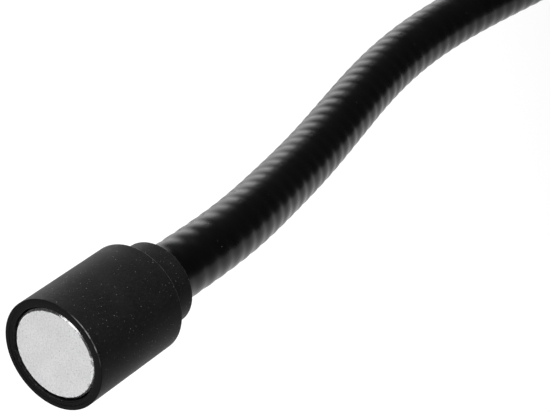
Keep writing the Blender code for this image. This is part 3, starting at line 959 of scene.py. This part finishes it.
def add_handle():
    """The ferrule with its grub screw, the grip and the end cap."""
    ferrule = new_object("handle_ferrule_finished", handle_ferrule())
    cut(ferrule, new_object("grub_hole_cutter", grub_hole_cutter()))
    mark_wear_and_highlight_edges(ferrule, [(0.0, COLLAR_RADIUS, 0.3, 80, 70), (FERRULE_LENGTH, FERRULE_RADIUS, 0.6, 70, 60)])
    grip_shape, groove_edges = grip_sleeve()
    grip = new_object("grip_finished", grip_shape)
    mark_wear_and_highlight_edges(grip, groove_edges)
    cap = new_object("end_cap_finished", end_cap())
    cut(cap, new_object("hang_hole_cutter", hang_hole_cutter()))
    screw = new_object("grub_screw_finished", grub_screw())
    coat = coated_metal("ferrule_coating", pale_front=False)
    finish_piece(ferrule, coat, ["handle_ferrule"])
    finish_piece(grip, soft_grip("grip_rubber"), ["grip_sleeve"])
    finish_piece(cap, moulded_plastic("cap_plastic"), ["end_cap"])
    dark_steel = steel("screw_steel", rest_place, tone=0.35, roughness=0.3)
    finish_piece(screw, dark_steel, ["ferrule_grub_screw"])
    for piece in (ferrule, grip, cap, screw):
        place_on_handle(piece)


# Hidden pieces that keep the frame's shapes ---------------------------------------------------


def finish_frame_nodes():
    """Gives the frame's own glue, plates, screw, plug and tube their materials."""
    zinc = steel("zinc_plated_steel", frame_place, tone=0.55, roughness=0.32)
    glue = adhesive("set_adhesive")
    materials = {
        "magnet_glue": glue,
        "backing_plate": zinc,
        "collar_screw": zinc,
        "wire_end_plug": zinc,
        "handle_core_tube": zinc,
    }
    for name, material in materials.items():
        mesh = frame["nodes"][name].data
        mesh.materials.clear()
        mesh.materials.append(material)


# Camera, floor and light ---------------------------------------------------------------------


def add_camera():
    """A camera in front of the tool's head, looking down at it."""
    data = bpy.data.cameras.new("photo_camera")
    data.lens = CAMERA_LENS
    data.sensor_width = CAMERA_SENSOR
    data.clip_start = 0.01
    data.clip_end = 100.0
    camera = bpy.data.objects.new("photo_camera", data)
    bpy.context.collection.objects.link(camera)
    camera.location = CAMERA_PLACE
    level = math.cos(CAMERA_PITCH)
    forward = Vector(
        (level * math.cos(CAMERA_HEADING), level * math.sin(CAMERA_HEADING), math.sin(CAMERA_PITCH))
    )
    camera.rotation_euler = forward.to_track_quat("-Z", "Y").to_euler()
    bpy.context.scene.camera = camera


def spun_floor(name, outline):
    """A level disc or ring from an outline of (radius, height) points in metres."""
    bm = bmesh.new()
    verts = [bm.verts.new((radius, 0.0, FLOOR_HEIGHT + height)) for radius, height in outline]
    edges = [bm.edges.new(pair) for pair in zip(verts, verts[1:])]
    bmesh.ops.spin(
        bm,
        geom=verts + edges,
        axis=(0.0, 0.0, 1.0),
        angle=math.tau,
        steps=FLOOR_SIDES,
        use_merge=True,
    )
    bmesh.ops.remove_doubles(bm, verts=bm.verts, dist=0.0001)
    bmesh.ops.recalc_face_normals(bm, faces=bm.faces)
    mesh = bpy.data.meshes.new(name)
    bm.to_mesh(mesh)
    bm.free()
    mesh.shade_smooth()
    floor = bpy.data.objects.new(name, mesh)
    bpy.context.collection.objects.link(floor)
    return floor


def add_floor():
    """A plain floor whose pale look is a painted glow over a grey, well under the tool so that no bend
    reaches it.

    The glow is a painted pool of light: near the tool it is weaker towards one side, so that one side of
    the tool shines less, and it grows stronger far off."""
    near = spun_floor("near_floor", [(0.0, 0.0), (NEAR_FLOOR_RADIUS, 0.0)])
    cove = [
        (FLOOR_RADIUS + COVE_RADIUS * math.sin(a), COVE_RADIUS * (1 - math.cos(a)))
        for a in np.linspace(0.0, math.pi / 2, COVE_STEPS + 1)
    ]
    wall = [(FLOOR_RADIUS + COVE_RADIUS, WALL_HEIGHT)]
    far = spun_floor("far_floor", [(NEAR_FLOOR_RADIUS, 0.0), *cove, *wall])
    far.visible_glossy = False
    material, tree, shader = new_material("painted_glow_floor")
    place = add_node(tree, "TexCoord").outputs["Object"]
    # Painted pool of light: the emission is weaker towards one side near the tool and stronger far off
    across = add_node(tree, "VectorMath", {0: place, 1: DARKER_SIDE}, operation="DOT_PRODUCT")
    glow = between(tree, across.outputs["Value"], DARKER_START, DARKER_END, FLOOR_GLOW, DARKER_GLOW)
    glow.node.interpolation_type = "SMOOTHERSTEP"
    distance = add_node(tree, "VectorMath", {0: place}, operation="LENGTH").outputs["Value"]
    far_glow = between(tree, distance, NEAR_FLOOR_RADIUS, FLOOR_RADIUS, 0.0, FAR_GLOW)
    far_glow.node.interpolation_type = "SMOOTHERSTEP"
    total = add_node(tree, "Math", {0: glow, 1: far_glow}, operation="ADD").outputs["Value"]
    tree.links.new(total, shader.inputs["Emission Strength"])
    shader.inputs["Emission Color"].default_value = (1.0, 1.0, 1.0, 1.0)
    shader.inputs["Base Color"].default_value = (FLOOR_GREY, FLOOR_GREY, FLOOR_GREY, 1.0)
    shader.inputs["Roughness"].default_value = 0.9
    shader.inputs["Specular IOR Level"].default_value = 0.0
    near.data.materials.append(material)
    far.data.materials.append(material)


def add_softbox(name, azimuth, elevation, width, height, radiance):
    """A soft light in that direction, turned towards the tool, which the camera doesn't see."""
    lamp = bpy.data.lights.new(name, "AREA")
    lamp.shape = "RECTANGLE"
    lamp.size = width
    lamp.size_y = height
    lamp.energy = radiance * math.pi * width * height
    box = bpy.data.objects.new(name, lamp)
    bpy.context.collection.objects.link(box)
    a, e = math.radians(azimuth), math.radians(elevation)
    direction = Vector((math.cos(e) * math.cos(a), math.cos(e) * math.sin(a), math.sin(e)))
    box.location = direction * SOFTBOX_DISTANCE
    box.rotation_euler = direction.to_track_quat("Z", "Y").to_euler()
    box.visible_camera = False


def add_light():
    """A dim world and the softboxes."""
    world = bpy.data.worlds.new("studio")
    bpy.context.scene.world = world
    world.use_nodes = True
    background = world.node_tree.nodes["Background"]
    background.inputs["Color"].default_value = (1.0, 1.0, 1.0, 1.0)
    background.inputs["Strength"].default_value = WORLD_GLOW
    for name, sizes in SOFTBOXES.items():
        add_softbox(name, *sizes)
    bpy.context.scene.view_settings.view_transform = "Standard"


add_camera()
add_floor()
add_light()
add_head()
add_gooseneck()
add_handle()
finish_frame_nodes()
